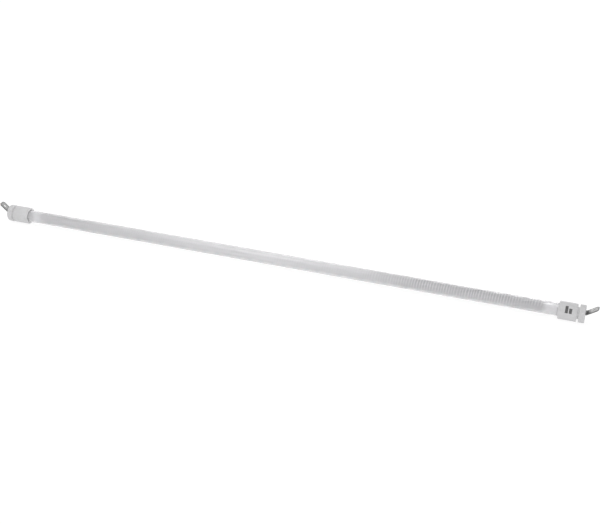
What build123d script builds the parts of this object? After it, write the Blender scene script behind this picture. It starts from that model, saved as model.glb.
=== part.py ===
from build123d import *
import math
import os

# Quartz heating element: a wire coil inside a milky quartz tube, with a grooved ceramic cap and a bent
# blade terminal at each end. Millimetres. X runs along the tube, Z is up, and the origin is on the
# tube's axis at mid-length. End pieces are made at the +X end and mirrored for the other end.

# Clearances
seat_clearance = 0.2        # tube to cap, all round
slot_clearance = 0.1        # terminal tongue to its slot, on each side
coil_clearance = 0.3        # coil to the inside of the tube
sleeve_clearance = 0.1      # tongue to the crimp sleeve, at each edge
chamber_clearance = 0.3     # crimp sleeve to the cap's chamber, at its sides and its bottom

# Quartz tube
tube_diameter = 10.0
tube_wall = 1.0
tube_bare_length = 452.0    # between the mouths of the two caps

# Ceramic cap
cap_diameter = 13.8
cap_length = 19.6
seat_depth = 10.6           # how far the tube goes into the cap
chamber_depth = 4.4         # of the flat hollow behind the seat, for the crimp
flange_length = 4.4         # from the groove to the outer end
groove_width = 1.6
neck_diameter = 9.2         # at the bottom of the groove
rim_chamfer = 0.4           # outer edges of the cap
mouth_chamfer = 0.3         # lead-in for the tube

# Coil
coil_pitch = 2.1
coil_turns = 204
runs_per_turn = 6           # straight runs of wire in one turn
wire_height = 0.66          # of the wire's three-sided section, flat side outward
tail_slope_length = 3.0     # along X, where the wire comes in from its last turn to its tail
tail_height = 0.7           # of the tail above the tube's axis

# Blade terminal
blade_width = 6.3
blade_thickness = 0.8
blade_straight = 0.5        # from the cap's end to the bend
bend_radius = 0.9           # inner side of the bend
left_bend_angle = 43.0      # bent by hand, so the two ends differ
right_bend_angle = 35.5
blade_leg = 9.7             # beyond the bend
tip_chamfer = 1.3           # across each corner of the tip
edge_chamfer = 0.25         # along every edge of the blade
blade_hole_diameter = 1.8
blade_hole_from_tip = 4.2
tongue_width = 3.6

# Crimp sleeve
sleeve_length = 6.4
sleeve_wall = 0.5
sleeve_corner = 0.5         # taken off the outer edges of the flattened sleeve
crimp_inset = 0.8           # the tongue and the tail each stop this far inside the sleeve

# Places along X at the +X end
mouth_x = tube_bare_length / 2
seat_x = mouth_x + seat_depth
chamber_x = seat_x + chamber_depth
end_x = mouth_x + cap_length
groove_outer_x = end_x - flange_length
groove_inner_x = groove_outer_x - groove_width
coil_x = coil_pitch * coil_turns / 2
sleeve_outer_x = chamber_x - chamber_clearance
sleeve_inner_x = sleeve_outer_x - sleeve_length

# Radii and heights: the tongue lies flat on the wire's tail
bore_radius = tube_diameter / 2 - tube_wall
wire_reach = wire_height / 1.5
wire_flat = wire_reach / 2
coil_radius = bore_radius - coil_clearance - wire_flat
tongue_z = tail_height + wire_flat + blade_thickness / 2
sleeve_z = tongue_z + blade_thickness / 2 - (blade_thickness + wire_height) / 2
sleeve_width = tongue_width + 2 * (sleeve_clearance + sleeve_wall)
sleeve_height = blade_thickness + wire_height + 2 * sleeve_wall


def make_tube():
    outside = Cylinder(tube_diameter / 2, 2 * seat_x, rotation=(0, 90, 0))
    inside = Cylinder(bore_radius, 2 * seat_x, rotation=(0, 90, 0))
    return outside - inside


def make_cap():
    seat_radius = tube_diameter / 2 + seat_clearance
    cap_radius = cap_diameter / 2
    outline = [
        (mouth_x, seat_radius + mouth_chamfer),
        (mouth_x, cap_radius - rim_chamfer),
        (mouth_x + rim_chamfer, cap_radius),
        (groove_inner_x, cap_radius),
        (groove_inner_x, neck_diameter / 2),
        (groove_outer_x, neck_diameter / 2),
        (groove_outer_x, cap_radius),
        (end_x - rim_chamfer, cap_radius),
        (end_x, cap_radius - rim_chamfer),
        (end_x, 0),
        (seat_x, 0),
        (seat_x, seat_radius),
        (mouth_x + mouth_chamfer, seat_radius),
    ]
    body = revolve(make_face(Polyline(outline, close=True)), Axis.X)
    chamber_width = sleeve_width + 2 * chamber_clearance
    chamber_height = sleeve_height + 2 * chamber_clearance
    chamber = Pos((seat_x + chamber_x) / 2, 0, sleeve_z) * Box(chamber_depth, chamber_width, chamber_height)
    slot_width = tongue_width + 2 * slot_clearance
    slot_height = blade_thickness + 2 * slot_clearance
    slot = Pos((chamber_x + end_x) / 2, 0, tongue_z) * Box(end_x - chamber_x, slot_width, slot_height)
    return body - chamber - slot


def make_terminal(bend_angle):
    tongue_x = sleeve_inner_x + crimp_inset
    tongue = Pos((tongue_x + end_x) / 2, 0, tongue_z) * Box(end_x - tongue_x, tongue_width, blade_thickness)

    # The blade leaves the cap flat and turns upward
    straight = Line((end_x, tongue_z), (end_x + blade_straight, tongue_z))
    bend = JernArc(straight @ 1, straight % 1, bend_radius + blade_thickness / 2, bend_angle)
    path = Plane.XZ * (straight + bend)
    start = Plane((end_x, 0, tongue_z), x_dir=(0, 1, 0), z_dir=(1, 0, 0))
    section = chamfer(Rectangle(blade_width, blade_thickness).vertices(), edge_chamfer)
    root = sweep(start * section, path)

    # The leg beyond the bend, with its corners taken off and its hole
    half = blade_width / 2
    leg_outline = Polyline(
        (0, half),
        (0, -half),
        (blade_leg - tip_chamfer, -half),
        (blade_leg, -half + tip_chamfer),
        (blade_leg, half - tip_chamfer),
        (blade_leg - tip_chamfer, half),
        close=True,
    )
    slope = math.radians(bend_angle)
    leg_start = Plane.XZ.from_local_coords(bend @ 1)
    leg_plane = Plane(
        leg_start,
        x_dir=(math.cos(slope), 0, math.sin(slope)),
        z_dir=(-math.sin(slope), 0, math.cos(slope)),
    )
    leg = extrude(make_face(leg_outline), blade_thickness / 2, both=True)
    rims = leg.faces().filter_by(Axis.Z).edges() - leg.faces().sort_by(Axis.X)[0].edges()
    leg = chamfer(rims, edge_chamfer)
    leg -= Pos(blade_leg - blade_hole_from_tip, 0) * Cylinder(blade_hole_diameter / 2, blade_thickness)
    return tongue + root + leg_plane * leg


def make_sleeve():
    outside = chamfer(Rectangle(sleeve_width, sleeve_height).vertices(), sleeve_corner)
    section = outside - Rectangle(sleeve_width - 2 * sleeve_wall, sleeve_height - 2 * sleeve_wall)
    start = Plane((sleeve_inner_x, 0, sleeve_z), x_dir=(0, 1, 0), z_dir=(1, 0, 0))
    return extrude(start * section, sleeve_length)


def make_coil():
    # The wire's three-sided section: a flat side outward and a corner towards the coil's middle
    half_side = wire_height / math.sqrt(3)
    corners = [(wire_flat, half_side), (-wire_reach, 0), (wire_flat, -half_side)]

    def section(x, height, outward, sideways):
        middle = Vector(x, 0, 0) + outward * height
        return Wire.make_polygon([middle + outward * out + sideways * side for out, side in corners])

    # The sections of the turns lie in planes through the tube's axis, those of the tails across it
    up = Vector(0, 0, 1)
    ahead = Vector(1, 0, 0)
    across = Vector(0, -1, 0)
    turning = (ahead + across).normalized()
    tail_x = sleeve_outer_x - crimp_inset
    slope_x = coil_x + tail_slope_length
    sections = [section(-tail_x, tail_height, up, across), section(-slope_x, tail_height, up, across)]
    sections.append(section(-coil_x, coil_radius, up, turning))
    for run in range(1, coil_turns * runs_per_turn):
        turn = 2 * math.pi * run / runs_per_turn
        spoke = Vector(0, math.sin(turn), math.cos(turn))
        sections.append(section(run * coil_pitch / runs_per_turn - coil_x, coil_radius, spoke, ahead))
    sections.append(section(coil_x, coil_radius, up, turning))
    sections += [section(slope_x, tail_height, up, across), section(tail_x, tail_height, up, across)]
    return Solid.make_loft(sections, ruled=True)


cap = make_cap()
sleeve = make_sleeve()

pieces = {
    "quartz_tube": make_tube(),
    "heating_coil": make_coil(),
    "left_end_cap": mirror(cap, about=Plane.YZ),
    "right_end_cap": cap,
    "left_terminal_tab": mirror(make_terminal(left_bend_angle), about=Plane.YZ),
    "right_terminal_tab": make_terminal(right_bend_angle),
    "left_crimp_sleeve": mirror(sleeve, about=Plane.YZ),
    "right_crimp_sleeve": sleeve,
}

os.makedirs("parts", exist_ok=True)
for name, piece in pieces.items():
    export_step(piece, f"parts/{name}.step")
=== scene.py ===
import math

import bmesh
import bpy
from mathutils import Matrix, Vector


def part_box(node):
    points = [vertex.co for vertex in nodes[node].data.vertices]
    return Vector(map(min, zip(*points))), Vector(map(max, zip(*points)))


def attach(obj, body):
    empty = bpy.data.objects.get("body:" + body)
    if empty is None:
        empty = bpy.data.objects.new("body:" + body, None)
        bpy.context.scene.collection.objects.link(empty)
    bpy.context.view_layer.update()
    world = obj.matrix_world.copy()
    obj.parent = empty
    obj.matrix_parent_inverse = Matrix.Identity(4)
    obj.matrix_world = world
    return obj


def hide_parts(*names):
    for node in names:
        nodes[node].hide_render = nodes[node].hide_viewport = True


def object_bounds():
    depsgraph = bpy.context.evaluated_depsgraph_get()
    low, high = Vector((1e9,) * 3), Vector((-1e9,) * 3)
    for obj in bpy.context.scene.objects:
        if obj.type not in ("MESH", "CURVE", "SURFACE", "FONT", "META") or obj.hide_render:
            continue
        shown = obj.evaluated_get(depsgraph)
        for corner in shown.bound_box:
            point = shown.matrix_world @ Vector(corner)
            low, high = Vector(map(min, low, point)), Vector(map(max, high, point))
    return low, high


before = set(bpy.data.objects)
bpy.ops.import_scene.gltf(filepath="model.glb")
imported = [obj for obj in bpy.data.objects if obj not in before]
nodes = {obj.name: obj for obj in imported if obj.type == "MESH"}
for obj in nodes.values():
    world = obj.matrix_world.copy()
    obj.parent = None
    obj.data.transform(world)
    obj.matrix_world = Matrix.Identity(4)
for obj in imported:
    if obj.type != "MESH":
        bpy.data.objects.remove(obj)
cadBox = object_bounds()
mm = 0.001
print("frame loaded:", len(nodes), "nodes")


# node helpers

def addNode(tree, kind, **settings):
    node = tree.nodes.new(kind)
    for key, value in settings.items():
        setattr(node, key, value)
    return node


def feed(tree, socket, value):  # numbers and colours are set, outputs are linked
    if isinstance(value, (int, float, tuple)):
        socket.default_value = value
    else:
        tree.links.new(value, socket)


def fill(tree, node, **values):  # underscores in the key stand for spaces
    for key, value in values.items():
        feed(tree, node.inputs[key.replace("_", " ")], value)


def calculator(tree):  # for one tree: adds a math node and gives its output
    def calc(operation, *values, clamp=False):
        node = addNode(tree, "ShaderNodeMath", operation=operation, use_clamp=clamp)
        for socket, value in zip(node.inputs, values):
            feed(tree, socket, value)
        return node.outputs[0]
    return calc


def mapRange(tree, value, fromLow, fromHigh, toLow=0.0, toHigh=1.0, kind="LINEAR"):
    node = addNode(tree, "ShaderNodeMapRange", interpolation_type=kind, clamp=True)
    for socket, setting in zip(node.inputs, (value, fromLow, fromHigh, toLow, toHigh)):
        feed(tree, socket, setting)
    return node.outputs[0]


def fadeIn(tree, value, start, full):  # 0 up to start, 1 from full on; start above full turns it round
    return mapRange(tree, value, start, full, kind="SMOOTHSTEP")


def fromTo(tree, share, low, high):  # low at 0, high at 1
    return calculator(tree)("MULTIPLY_ADD", share, high - low, low)


noiseSpan = (0.3, 0.7)     # a noise hardly leaves this span


def fromNoise(tree, noise, low, high):
    return mapRange(tree, noise, *noiseSpan, low, high)


def mixColour(tree, factor, first, second):
    node = addNode(tree, "ShaderNodeMix", data_type="RGBA")
    for index, value in ((0, factor), (6, first), (7, second)):  # the sockets of a mix of colours
        feed(tree, node.inputs[index], value)
    return node.outputs[2]


def grey(level, blue=0.0):  # a little blue takes away a trace of green
    return (level, level - 0.4 * blue, level + blue, 1.0)


# camera, worked out from the photograph

cameraSetup = {
    "lens": 62.79,                   # millimetres
    "sensor": 36,
    "clipStart": 0.01,               # metres
    "distance": 838.8 * mm,
    "azimuth": math.radians(19.10),  # the right end is the nearer one
    "elevation": math.radians(30.71),
    "target": Vector((21.47 * mm, 0, 1.53 * mm)),
}


def makeCamera(setup):
    data = bpy.data.cameras.new("camera")
    data.lens = setup["lens"]
    data.sensor_width = setup["sensor"]
    data.sensor_fit = "HORIZONTAL"
    data.clip_start = setup["clipStart"]
    cam = bpy.data.objects.new("camera", data)
    bpy.context.scene.collection.objects.link(cam)
    az, el = setup["azimuth"], setup["elevation"]
    away = Vector((math.sin(az) * math.cos(el), -math.cos(az) * math.cos(el), math.sin(el)))
    cam.location = setup["target"] + away * setup["distance"]
    cam.rotation_euler = (-away).to_track_quat("-Z", "Y").to_euler()
    bpy.context.scene.camera = cam


makeCamera(cameraSetup)
print("camera set")


# shared by the finishes

def newMaterial(name):
    mat = bpy.data.materials.new(name)
    mat.use_nodes = True
    mat.node_tree.nodes.clear()
    return mat, mat.node_tree


def showSurface(tree, shader, kind="ShaderNodeOutputMaterial"):
    out = addNode(tree, kind)
    tree.links.new(shader.outputs[0], out.inputs["Surface"])


def addPrincipled(tree, **values):
    shader = addNode(tree, "ShaderNodeBsdfPrincipled")
    fill(tree, shader, **values)
    showSurface(tree, shader)


def objectPlace(tree):
    return addNode(tree, "ShaderNodeTexCoord").outputs["Object"]


def placeInMm(tree):
    scaled = addNode(tree, "ShaderNodeVectorMath", operation="SCALE")
    fill(tree, scaled, Vector=objectPlace(tree), Scale=1 / mm)
    split = addNode(tree, "ShaderNodeSeparateXYZ")
    tree.links.new(scaled.outputs[0], split.inputs[0])
    return split.outputs["X"], split.outputs["Y"], split.outputs["Z"]


def lengthOf(tree, a, b):  # of a step a one way and b across it
    calc = calculator(tree)
    return calc("SQRT", calc("MULTIPLY_ADD", a, a, calc("MULTIPLY", b, b)))


def addBump(tree, height, distance, strength):
    node = addNode(tree, "ShaderNodeBump")
    fill(tree, node, Height=height, Distance=distance, Strength=strength)
    return node.outputs["Normal"]


mottleSetup = {
    "inputs": {"Size": 3.0, "Grain Size": 0.15, "Stretch": 1.0},  # millimetres, and a factor along X
    "noises": (("Cloud", "Size", 3.0), ("Grain", "Grain Size", 2.0)),  # output, its size, detail
    "roughness": 0.55,
}


def makeMottleGroup(setup):  # soft cloudy change of tone plus fine grain, for every finish
    group = bpy.data.node_groups.new("mottle", "ShaderNodeTree")
    for label, value in setup["inputs"].items():
        socket = group.interface.new_socket(label, in_out="INPUT", socket_type="NodeSocketFloat")
        socket.default_value = value
    for label, source, detail in setup["noises"]:
        group.interface.new_socket(label, in_out="OUTPUT", socket_type="NodeSocketFloat")
    inp, out = addNode(group, "NodeGroupInput"), addNode(group, "NodeGroupOutput")
    squeeze = addNode(group, "ShaderNodeCombineXYZ")
    fill(group, squeeze, X=inp.outputs["Stretch"], Y=1.0, Z=1.0)
    drawn = addNode(group, "ShaderNodeVectorMath", operation="MULTIPLY")
    group.links.new(objectPlace(group), drawn.inputs[0])
    group.links.new(squeeze.outputs[0], drawn.inputs[1])
    for label, source, detail in setup["noises"]:
        noise = addNode(group, "ShaderNodeTexNoise")
        fill(group, noise, Vector=drawn.outputs[0], Detail=detail, Roughness=setup["roughness"])
        fill(group, noise, Scale=calculator(group)("DIVIDE", 1 / mm, inp.outputs[source]))
        group.links.new(noise.outputs["Fac"], out.inputs[label])
    return group


mottleGroup = makeMottleGroup(mottleSetup)


def addMottle(tree, size, grainSize, stretch=1.0):
    node = addNode(tree, "ShaderNodeGroup", node_tree=mottleGroup)
    fill(tree, node, Size=size, Grain_Size=grainSize, Stretch=stretch)
    return node.outputs["Cloud"], node.outputs["Grain"]


# ceramic of the caps

ceramicLook = {
    "pale": grey(0.622, 0.008),
    "deep": grey(0.582, 0.004),
    "clean": grey(0.78, 0.004),   # painted light on the sides and floor of the groove, and on the mouth, lighter than the ceramic against their shade
    "grooveLightDepth": (0.15, 0.45),   # millimetres below the outside where that comes in
    "cleanInset": (0.5, 0.9),     # and in from the outer end
    "speck": grey(0.42, -0.02),
    "speckShare": 0.5,
    "speckSpacing": 0.9,          # millimetres, as are the other sizes here
    "speckRadius": 0.09,          # part of the spacing
    "cloudSize": 4.0,
    "grainSize": 0.22,
    "rough": (0.48, 0.68),
    "ior": 1.55,
    "grainDepth": 0.03 * mm,
    "grainBump": 0.35,
}

inkMark = {                # two plain bars stamped on the right cap
    "colour": grey(0.045),
    "start": 4.9,          # from the mouth of the cap, millimetres
    "barWidth": 2.2,
    "gap": 0.7,
    "angle": 41.0,         # middle of the mark, degrees up from the front
    "longHalf": 23.5,      # half the first bar, degrees round the cap
    "shortHalf": 16.0,
    "shortDrop": 7.0,      # the second bar starts lower
    "raggedScale": 2600.0,
    "raggedAlong": 0.5,    # millimetres that an edge may stray
    "raggedRound": 5.0,    # degrees
    "wear": (0.7, 0.91),   # ink lies thin in places: change and mean
}

capLow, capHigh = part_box("right_end_cap")
capRadius, capEnd, capMouth = capHigh.z / mm, capHigh.x / mm, capLow.x / mm


def inkMask(tree, mark):
    calc = calculator(tree)
    x, y, z = placeInMm(tree)
    ragged = addNode(tree, "ShaderNodeTexNoise")
    fill(tree, ragged, Vector=objectPlace(tree), Scale=mark["raggedScale"], Detail=2.0)
    wobble = calc("SUBTRACT", ragged.outputs["Fac"], 0.5)
    along = calc("MULTIPLY_ADD", wobble, mark["raggedAlong"], calc("SUBTRACT", x, capMouth))
    angle = calc("MULTIPLY", calc("ARCTAN2", z, calc("MULTIPLY", y, -1.0)), 180.0 / math.pi)
    angle = calc("MULTIPLY_ADD", wobble, mark["raggedRound"], angle)
    bars = []
    for step, half, drop in ((0, mark["longHalf"], 0.0), (1, mark["shortHalf"], mark["shortDrop"])):
        middle = mark["start"] + mark["barWidth"] / 2 + step * (mark["barWidth"] + mark["gap"])
        offAlong = calc("ABSOLUTE", calc("SUBTRACT", along, middle))
        offAngle = calc("ABSOLUTE", calc("SUBTRACT", angle, mark["angle"] - drop))
        inAlong = calc("LESS_THAN", offAlong, mark["barWidth"] / 2)
        bars.append(calc("MULTIPLY", inAlong, calc("LESS_THAN", offAngle, half)))
    worn = calc("MULTIPLY_ADD", wobble, *mark["wear"], clamp=True)
    return calc("MULTIPLY", calc("MAXIMUM", *bars), worn)


def makeCeramic(name, look, mark=None):
    mat, tree = newMaterial(name)
    calc = calculator(tree)
    cloud, grain = addMottle(tree, look["cloudSize"], look["grainSize"])
    colour = mixColour(tree, fromNoise(tree, cloud, 0.0, 1.0), look["pale"], look["deep"])
    x, y, z = placeInMm(tree)
    # painted light: faces sunk below the outside, away from the outer end, get a lighter colour against the
    # shade in the groove and the mouth
    sunk = fadeIn(tree, lengthOf(tree, y, z), *(capRadius - depth for depth in look["grooveLightDepth"]))
    inset = fadeIn(tree, calc("ABSOLUTE", x), *(capEnd - depth for depth in look["cleanInset"]))
    colour = mixColour(tree, calc("MULTIPLY", sunk, inset), colour, look["clean"])
    specks = addNode(tree, "ShaderNodeTexVoronoi", feature="F1")
    fill(tree, specks, Vector=objectPlace(tree), Scale=1 / mm / look["speckSpacing"])
    speckMask = calc("LESS_THAN", specks.outputs["Distance"], look["speckRadius"])
    colour = mixColour(tree, calc("MULTIPLY", speckMask, look["speckShare"]), colour, look["speck"])
    if mark:
        colour = mixColour(tree, inkMask(tree, mark), colour, mark["colour"])
    rough = fromNoise(tree, grain, *look["rough"])
    bump = addBump(tree, grain, look["grainDepth"], look["grainBump"])
    addPrincipled(tree, IOR=look["ior"], Base_Color=colour, Roughness=rough, Normal=bump)
    return mat


# quartz of the tube, with the shade of the coil behind it

coilTurns = {
    "pitch": 2.1,          # millimetres, as are the other lengths here
    "count": 204,
    "uneven": 1.3,         # radians that a turn may run ahead or lag
    "unevenOver": 6.0,     # length over which that changes
}
halfWound = coilTurns["pitch"] * coilTurns["count"] / 2


def turnAngle(tree, x, pitch, uneven, unevenOver):  # of the wire at x, for itself and its shade on the wall
    calc = calculator(tree)
    lag = addNode(tree, "ShaderNodeTexNoise", noise_dimensions="1D")
    fill(tree, lag, W=calc("DIVIDE", x, unevenOver), Scale=1.0, Detail=0.0)
    lagged = calc("MULTIPLY", calc("MULTIPLY_ADD", lag.outputs[0], 2.0, -1.0), uneven)
    return calc("MULTIPLY_ADD", calc("DIVIDE", x, pitch), 2 * math.pi, lagged)


quartzLook = {
    "clear": grey(0.93, 0.012),
    "milk": grey(0.96, 0.012),
    "coilShade": grey(0.45, 0.01),  # painted shade of the wire close behind the milky wall
    "veilLeft": 0.165,     # share of the shade, even over the turns, at the left end
    "veilMiddle": 0.04,
    "veilRight": 0.265,
    "leftToMiddle": (-110.0, 0.0),  # millimetres, as are the other places here
    "middleToRight": (60.0, 125.0),
    "veilSide": (-2.8, 0.6),  # heights up the tube's side where the shade comes in
    "veilBelow": 0.2,      # part of it left below them, so the painted shade is lighter on the lower side
    "stripe": 0.49,        # how far the single painted turns show at the right end
    "stripeLeft": 0.13,    # part of that on the rest of the tube
    "stripeSide": (-3.0, 4.2),
    "stripeEnd": (206.0, 180.0),  # the last turns show only high up
    "stripeEndSide": (1.5, 4.5),
    "gapMean": 0.375,      # of the pale gaps, so that the stripes leave the mean tone as it is
    "patchy": (14.0, 2.8),  # lengths over which the painted turns show more or less
    "turnsShowing": (2.6, -1.6),  # change and offset of that
    "leastShowing": 0.1,
    "woundFade": (1.0, -0.6),  # past the last turn, and short of it
    "transmission": 0.62,
    "ior": 1.46,
    "sheen": 0.6,          # satin skin, paler at a glancing angle
    "sheenRough": 0.5,
    "rough": (0.17, 0.23),
    "bareRough": 0.45,     # part of the roughness on the clear ends beyond the coil
    "bareShade": 0.04,     # share of the painted shade there, even over the clear ends
    "cloudSize": 1.6,
    "streakSize": 0.25,    # across, drawn out along the tube
    "drawnOut": 0.02,
    "streakDepth": 0.01 * mm,
    "streakBump": 0.04,
}


def coilShade(tree, look, turns):  # painted shade: a soft helix on the wall, in step with the wire behind it, with pale gaps between the turns
    calc = calculator(tree)
    x, y, z = placeInMm(tree)
    toMiddle = fadeIn(tree, x, *look["leftToMiddle"])
    toRight = fadeIn(tree, x, *look["middleToRight"])

    angle = turnAngle(tree, x, turns["pitch"], turns["uneven"], turns["unevenOver"])
    behind = calc("SUBTRACT", angle, calc("ARCTAN2", y, z))
    gap = calc("MULTIPLY_ADD", calc("COSINE", behind), -0.5, 0.5)
    wire = calc("MULTIPLY_ADD", calc("MULTIPLY", gap, gap), -1.0, look["gapMean"])
    turnsShowing = calc("MULTIPLY_ADD", calc("ADD", *addMottle(tree, *look["patchy"])), *look["turnsShowing"])
    lastTurns = calc(
        "MAXIMUM",
        fadeIn(tree, x, *look["stripeEnd"]),
        fadeIn(tree, z, *look["stripeEndSide"]),
    )
    strengths = (
        calc("MAXIMUM", turnsShowing, look["leastShowing"]),
        fromTo(tree, toRight, look["stripeLeft"] * look["stripe"], look["stripe"]),
        fadeIn(tree, z, *look["stripeSide"]),
        lastTurns,
    )
    for strength in strengths:
        wire = calc("MULTIPLY", wire, strength)

    veil = fromTo(tree, toMiddle, look["veilLeft"], look["veilMiddle"])
    veil = calc("MULTIPLY_ADD", toRight, look["veilRight"] - look["veilMiddle"], veil)
    side = fromTo(tree, fadeIn(tree, z, *look["veilSide"]), look["veilBelow"], 1.0)
    veil = calc("MULTIPLY", veil, side)

    wound = fadeIn(tree, calc("ABSOLUTE", x), *(halfWound + out for out in look["woundFade"]))
    share = calc("MULTIPLY", calc("ADD", veil, wire, clamp=True), wound)
    return calc("ADD", share, fromTo(tree, wound, look["bareShade"], 0.0)), wound


def makeQuartz(name, look):
    mat, tree = newMaterial(name)
    cloud, grain = addMottle(tree, look["cloudSize"], look["streakSize"], look["drawnOut"])
    colour = mixColour(tree, fromNoise(tree, grain, 0.0, 1.0), look["clear"], look["milk"])
    shade, wound = coilShade(tree, look, coilTurns)
    satin = fromNoise(tree, cloud, *look["rough"])
    addPrincipled(
        tree,
        IOR=look["ior"],
        Transmission_Weight=look["transmission"],
        Sheen_Weight=look["sheen"],
        Sheen_Roughness=look["sheenRough"],
        Base_Color=mixColour(tree, shade, colour, look["coilShade"]),
        Roughness=calculator(tree)("MULTIPLY", satin, fromTo(tree, wound, look["bareRough"], 1.0)),
        Normal=addBump(tree, grain, look["streakDepth"], look["streakBump"]),
    )
    return mat


# metals

metalLooks = {             # sizes in millimetres
    "heatingWire": {
        "pale": grey(0.22), "deep": grey(0.14), "rough": (0.42, 0.62),
        "cloud": 2.5, "grain": 0.2, "stretch": 1.0,
    },
    "platedBlade": {
        "pale": grey(0.42), "deep": grey(0.355), "rough": (0.27, 0.36),
        "cloud": 3.0, "grain": 0.25, "stretch": 0.12,
    },
    "crimpSteel": {
        "pale": grey(0.58), "deep": grey(0.46), "rough": (0.32, 0.48),
        "cloud": 2.0, "grain": 0.15, "stretch": 0.3,
    },
}
metalSkin = {"grainTone": 0.35, "cloudTone": 0.65, "grainDepth": 0.02 * mm, "grainBump": 0.1}
coldTail = {"colour": grey(0.74), "start": 214.8, "full": 217.6}  # unheated wire beyond the turns, bright
paintedBladeShade = {
    "rimShade": grey(0.17),     # painted shade towards the sheared edges and the tip
    "rimFrom": 1.1,        # millimetres from the blade's middle line
    "rimFull": 3.0,
    "tipFrom": 9.2,        # millimetres out from the cap, along the blade
    "tipFull": 10.9,
    "height": 1.32,        # of the tongue above the tube's axis
    "root": grey(0.19),    # painted shade by the cap
    "rootFull": 0.8,
    "rootGone": 5.6,
}


def coldTailColour(tree, colour, tail):
    away = calculator(tree)("ABSOLUTE", placeInMm(tree)[0])
    return mixColour(tree, fadeIn(tree, away, tail["start"], tail["full"]), colour, tail["colour"])


# painted shade on the blade: darker towards its sheared edges, its tip and its root by the cap
def addBladeShade(tree, colour, shadeSetup):
    calc = calculator(tree)
    x, y, z = placeInMm(tree)
    out = calc("MAXIMUM", calc("SUBTRACT", calc("ABSOLUTE", x), capEnd), 0.0)
    reach = lengthOf(tree, out, calc("SUBTRACT", z, shadeSetup["height"]))
    edge = fadeIn(tree, calc("ABSOLUTE", y), shadeSetup["rimFrom"], shadeSetup["rimFull"])
    tip = fadeIn(tree, reach, shadeSetup["tipFrom"], shadeSetup["tipFull"])
    colour = mixColour(tree, calc("MAXIMUM", edge, tip), colour, shadeSetup["rimShade"])
    rootShade = fadeIn(tree, reach, shadeSetup["rootGone"], shadeSetup["rootFull"])
    return mixColour(tree, rootShade, colour, shadeSetup["root"])


def makeMetal(name, look, skin):
    mat, tree = newMaterial(name)
    calc = calculator(tree)
    cloud, grain = addMottle(tree, look["cloud"], look["grain"], look["stretch"])
    tone = calc("MULTIPLY_ADD", grain, skin["grainTone"], calc("MULTIPLY", cloud, skin["cloudTone"]))
    colour = mixColour(tree, fromNoise(tree, tone, 0.0, 1.0), look["pale"], look["deep"])
    if name == "heatingWire":
        colour = coldTailColour(tree, colour, coldTail)
    if name == "platedBlade":
        colour = addBladeShade(tree, colour, paintedBladeShade)
    rough = fromNoise(tree, grain, *look["rough"])
    bump = addBump(tree, grain, skin["grainDepth"], skin["grainBump"])
    addPrincipled(tree, Metallic=1.0, Base_Color=colour, Roughness=rough, Normal=bump)
    return mat


plainCeramic = makeCeramic("plainCeramic", ceramicLook)
stampedCeramic = makeCeramic("stampedCeramic", ceramicLook, inkMark)
milkyQuartz = makeQuartz("milkyQuartz", quartzLook)
metals = {name: makeMetal(name, look, metalSkin) for name, look in metalLooks.items()}
print("finishes made")


# caps, blades and crimps

def linkObject(name, mesh):
    obj = bpy.data.objects.new(name, mesh)
    bpy.context.scene.collection.objects.link(obj)
    return obj


def settleMesh(obj):  # turns modifiers into a plain mesh
    graph = bpy.context.evaluated_depsgraph_get()
    mesh = bpy.data.meshes.new_from_object(obj.evaluated_get(graph))
    obj.modifiers.clear()
    obj.data = mesh
    mesh.name = obj.name


def handOver(piece, nodeName):
    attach(piece, "root")
    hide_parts(nodeName)


softEdges = {
    "cap": 0.22 * mm,
    "blade": 0.09 * mm,
    "sleeve": 0.12 * mm,
    "segments": 3,
    "weld": 0.002 * mm,                  # corners nearer than this are one
    "flat": math.radians(0.5),           # faces nearer to one plane than this are joined
    "bevelFrom": math.radians(25),
    "sharpFrom": math.radians(40.0),
}


def softenNode(nodeName, pieceName, material, edge):
    mesh = bpy.data.meshes.new(pieceName)
    bm = bmesh.new()
    bm.from_mesh(nodes[nodeName].data)
    bmesh.ops.remove_doubles(bm, verts=bm.verts, dist=softEdges["weld"])
    bmesh.ops.dissolve_limit(bm, angle_limit=softEdges["flat"], verts=bm.verts, edges=bm.edges)
    bm.to_mesh(mesh)
    bm.free()
    piece = linkObject(pieceName, mesh)
    bevel = piece.modifiers.new("soft edges", "BEVEL")
    bevel.width = softEdges[edge]
    bevel.segments = softEdges["segments"]
    bevel.limit_method = "ANGLE"
    bevel.angle_limit = softEdges["bevelFrom"]
    bevel.use_clamp_overlap = True
    settleMesh(piece)
    piece.data.shade_smooth()
    piece.data.set_sharp_from_angle(angle=softEdges["sharpFrom"])
    piece.data.materials.clear()
    piece.data.materials.append(material)
    handOver(piece, nodeName)


for side, ceramic in (("left", plainCeramic), ("right", stampedCeramic)):
    softenNode(f"{side}_end_cap", f"{side}CapCeramic", ceramic, "cap")
    softenNode(f"{side}_terminal_tab", f"{side}Blade", metals["platedBlade"], "blade")
    softenNode(f"{side}_crimp_sleeve", f"{side}Crimp", metals["crimpSteel"], "sleeve")
print("caps, blades and crimps made")


# coil and tube, grown by Geometry Nodes

def newTree(name, sizes):  # whole numbers become counts
    tree = bpy.data.node_groups.new(name, "GeometryNodeTree")
    tree.interface.new_socket("Geometry", in_out="INPUT", socket_type="NodeSocketGeometry")
    for label, value in sizes.items():
        kind = "NodeSocketInt" if isinstance(value, int) else "NodeSocketFloat"
        tree.interface.new_socket(label, in_out="INPUT", socket_type=kind)
    tree.interface.new_socket("Geometry", in_out="OUTPUT", socket_type="NodeSocketGeometry")
    return tree, addNode(tree, "NodeGroupInput").outputs, addNode(tree, "NodeGroupOutput")


def finishTree(tree, geometry, out, material):
    smooth = addNode(tree, "GeometryNodeSetShadeSmooth")
    realize = addNode(tree, "GeometryNodeRealizeInstances")
    paint = addNode(tree, "GeometryNodeSetMaterial")
    paint.inputs["Material"].default_value = material
    for step in (smooth, realize, paint):
        tree.links.new(geometry, step.inputs[0])
        geometry = step.outputs[0]
    tree.links.new(geometry, out.inputs[0])


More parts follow.
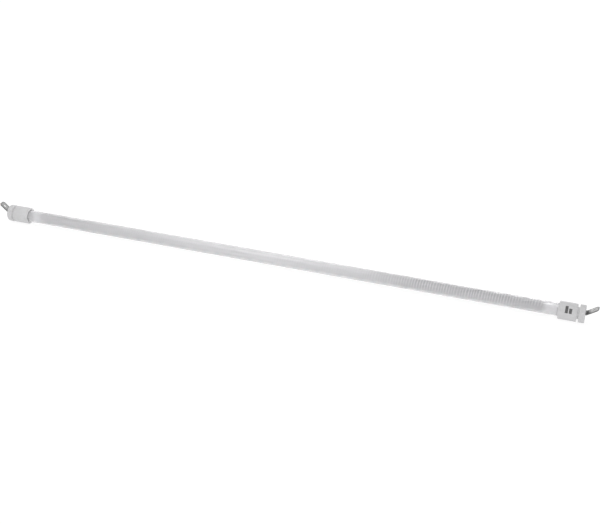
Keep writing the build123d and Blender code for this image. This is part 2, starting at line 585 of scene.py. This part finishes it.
def growPiece(name, tree, sizes, nodeName, sharpFrom=None):
    piece = linkObject(name, bpy.data.meshes.new(name))
    modifier = piece.modifiers.new(name, "NODES")
    modifier.node_group = tree
    for item in tree.interface.items_tree:
        if item.in_out == "INPUT" and item.name in sizes:
            modifier[item.identifier] = sizes[item.name]
    settleMesh(piece)
    if sharpFrom:
        piece.data.set_sharp_from_angle(angle=sharpFrom)
    handOver(piece, nodeName)
    print(name, len(piece.data.polygons), "faces")


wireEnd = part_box("heating_coil")[1]
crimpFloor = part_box("right_crimp_sleeve")[0]
wireRadius = 0.31 * mm
windings = {
    "Pitch": coilTurns["pitch"] * mm,
    "Uneven": coilTurns["uneven"],
    "Uneven Over": coilTurns["unevenOver"] * mm,
    "Half Winding": halfWound * mm,
    "Half Length": wireEnd.x,                # to the end of the tail
    "Coil Radius": wireEnd.z - wireRadius,   # to the middle of the wire
    "Wire Radius": wireRadius,
    "Wire Sides": 8,
    "Slope": 3.0 * mm,                       # where the wire comes in to its tail
    "Tail Height": crimpFloor.z + 0.84 * mm,  # on the floor of the crimp
    "Points": 7200,
}


def makeWindingTree(material):
    tree, size, out = newTree("windings", windings)
    link, calc = tree.links.new, calculator(tree)
    line = addNode(tree, "GeometryNodeCurvePrimitiveLine")
    for end, sign in (("Start", -1.0), ("End", 1.0)):
        corner = addNode(tree, "ShaderNodeCombineXYZ")
        link(calc("MULTIPLY", size["Half Length"], sign), corner.inputs["X"])
        link(corner.outputs[0], line.inputs[end])
    resample = addNode(tree, "GeometryNodeResampleCurve")
    fill(tree, resample, Curve=line.outputs[0], Count=size["Points"])
    split = addNode(tree, "ShaderNodeSeparateXYZ")
    link(addNode(tree, "GeometryNodeInputPosition").outputs[0], split.inputs[0])
    x = split.outputs["X"]

    # the turns' radius runs down to nothing along the slope, where the tail's height takes over
    turn = turnAngle(tree, x, size["Pitch"], size["Uneven"], size["Uneven Over"])
    slopeEnd = calc("ADD", size["Half Winding"], size["Slope"])
    away = calc("ABSOLUTE", x)
    radius = mapRange(tree, away, size["Half Winding"], slopeEnd, size["Coil Radius"], 0.0, "SMOOTHSTEP")
    slack = calc("SUBTRACT", 1.0, calc("DIVIDE", radius, size["Coil Radius"]))
    tail = calc("MULTIPLY", slack, size["Tail Height"])
    swung = addNode(tree, "ShaderNodeCombineXYZ")
    link(x, swung.inputs["X"])
    link(calc("MULTIPLY", radius, calc("SINE", turn)), swung.inputs["Y"])
    link(calc("ADD", tail, calc("MULTIPLY", radius, calc("COSINE", turn))), swung.inputs["Z"])
    wind = addNode(tree, "GeometryNodeSetPosition")
    fill(tree, wind, Geometry=resample.outputs[0], Position=swung.outputs[0])

    ring = addNode(tree, "GeometryNodeCurvePrimitiveCircle")
    fill(tree, ring, Resolution=size["Wire Sides"], Radius=size["Wire Radius"])
    skin = addNode(tree, "GeometryNodeCurveToMesh")
    fill(tree, skin, Curve=wind.outputs[0], Profile_Curve=ring.outputs[0], Fill_Caps=True)
    finishTree(tree, skin.outputs[0], out, material)
    return tree


growPiece("woundWire", makeWindingTree(metals["heatingWire"]), windings, "heating_coil")

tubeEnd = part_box("quartz_tube")[1]
tubeSizes = {
    "Half Length": tubeEnd.x,
    "Outer Radius": tubeEnd.z,
    "Wall": 1.0 * mm,
    "End Rounding": 0.25 * mm,
    "End Steps": 4,
    "Sides": 128,
}
tubeSharpFrom = math.radians(8.0)  # sharp rims keep the long walls straight to the light


def makeTubeTree(material):
    tree, size, out = newTree("drawnTube", tubeSizes)
    calc = calculator(tree)
    wall = addNode(tree, "GeometryNodeCurvePrimitiveQuadrilateral")  # section of the wall
    fill(tree, wall, Width=size["Wall"], Height=calc("MULTIPLY", size["Half Length"], 2.0))
    soft = addNode(tree, "GeometryNodeFilletCurve", mode="POLY")
    fill(tree, soft, Curve=wall.outputs[0], Radius=size["End Rounding"], Count=size["End Steps"])
    middle = calc("SUBTRACT", size["Outer Radius"], calc("MULTIPLY", size["Wall"], 0.5))
    ring = addNode(tree, "GeometryNodeCurvePrimitiveCircle")
    fill(tree, ring, Resolution=size["Sides"], Radius=middle)
    skin = addNode(tree, "GeometryNodeCurveToMesh")
    fill(tree, skin, Curve=ring.outputs[0], Profile_Curve=soft.outputs[0])
    lay = addNode(tree, "GeometryNodeTransform")
    fill(tree, lay, Geometry=skin.outputs[0], Rotation=(0, math.pi / 2, 0))
    finishTree(tree, lay.outputs[0], out, material)
    return tree


growPiece("milkyTube", makeTubeTree(milkyQuartz), tubeSizes, "quartz_tube", tubeSharpFrom)


# floor, world and lights

stageLook = {
    "floorHalf": 6.0,
    "floorColour": grey(0.90),
    "whiteShare": 0.72,    # how far the floor is plain white to the camera
    "glassShare": 0.835,   # and to gloss and glass
    "glowShare": 0.19,     # and to the light that it throws back up
    "white": 1.175,
    "domeLight": 0.617,
}


def seenDirectly(tree, byCamera, byGlass, byLight=0.0):  # a share for each kind of ray
    calc = calculator(tree)
    path = addNode(tree, "ShaderNodeLightPath").outputs
    glass = calc("MAXIMUM", path["Is Glossy Ray"], path["Is Transmission Ray"])
    seen = calc("MULTIPLY", path["Is Camera Ray"], byCamera)
    seen = calc("MAXIMUM", seen, calc("MULTIPLY", glass, byGlass))
    return calc("MAXIMUM", seen, byLight)


def makeFloor(look, height):
    mesh = bpy.data.meshes.new("floor")
    half = look["floorHalf"]
    corners = [(-half, -half, height), (half, -half, height), (half, half, height), (-half, half, height)]
    mesh.from_pydata(corners, [], [(0, 1, 2, 3)])
    mat, tree = newMaterial("paleFloor")
    lit = addNode(tree, "ShaderNodeBsdfDiffuse")
    fill(tree, lit, Color=look["floorColour"])
    glow = addNode(tree, "ShaderNodeEmission")
    fill(tree, glow, Strength=look["white"])
    both = addNode(tree, "ShaderNodeMixShader")
    white = seenDirectly(tree, look["whiteShare"], look["glassShare"], look["glowShare"])
    for socket, source in zip(both.inputs, (white, lit.outputs[0], glow.outputs[0])):
        tree.links.new(source, socket)
    showSurface(tree, both)
    mesh.materials.append(mat)
    floor = linkObject("floor", mesh)


def makeWorld(look):
    world = bpy.data.worlds.new("studio")
    world.use_nodes = True
    tree = world.node_tree
    tree.nodes.clear()
    sky = addNode(tree, "ShaderNodeBackground")
    strength = mapRange(tree, seenDirectly(tree, 1.0, 1.0), 0.0, 1.0, look["domeLight"], 1.0)
    fill(tree, sky, Color=grey(1.0), Strength=strength)
    showSurface(tree, sky, "ShaderNodeOutputWorld")
    bpy.context.scene.world = world


lamps = {                  # metres, watts, and the spread in degrees
    "overhead": {
        "place": (-0.27, 0.02, 0.75), "aim": (0, 0, 0),
        "size": (0.30, 0.35), "watts": 0.70, "spread": 180,
    },
    "frontLeft": {
        "place": (-0.36, -0.90, 0.09), "aim": (0, 0, 0),
        "size": (0.23, 0.16), "watts": 1.04, "spread": 180,
    },
    "frontRight": {
        "place": (0.85, -0.75, 0.12), "aim": (0.1, 0, 0),
        "size": (0.4, 0.3), "watts": 2.0, "spread": 180,
    },
    "middle": {
        "place": (-0.26, -0.16, 0.60), "aim": (-0.03, 0, 0),
        "size": (0.3, 0.3), "watts": 0.085, "spread": 40,
    },
    "strip": {
        "place": (0.187, 0.20, 0.66), "aim": (0.187, 0, 0),
        "size": (0.035, 0.38), "watts": 0.32, "spread": 180,
    },
    "rear": {
        "place": (0.25, 0.90, 0.12), "aim": (0, 0, 0),
        "size": (0.6, 0.2), "watts": 1.3, "spread": 180,
    },
    "back": {
        "place": (-0.36, 0.60, 0.45), "aim": (-0.03, 0, 0),
        "size": (0.5, 0.3), "watts": 0.8, "spread": 180,
    },
}


def makeLamp(name, setup):
    data = bpy.data.lights.new(name, "AREA")
    data.shape = "RECTANGLE"
    data.size, data.size_y = setup["size"]
    data.energy = setup["watts"]
    data.spread = math.radians(setup["spread"])
    lamp = bpy.data.objects.new(name, data)
    lamp.location = setup["place"]
    aim = Vector(setup["aim"]) - Vector(setup["place"])
    lamp.rotation_euler = aim.to_track_quat("-Z", "Y").to_euler()
    bpy.context.scene.collection.objects.link(lamp)


makeFloor(stageLook, cadBox[0][2])
makeWorld(stageLook)
for lampName, lampSetup in lamps.items():
    makeLamp(lampName, lampSetup)
bpy.context.scene.view_settings.view_transform = "Standard"
print("stage set")
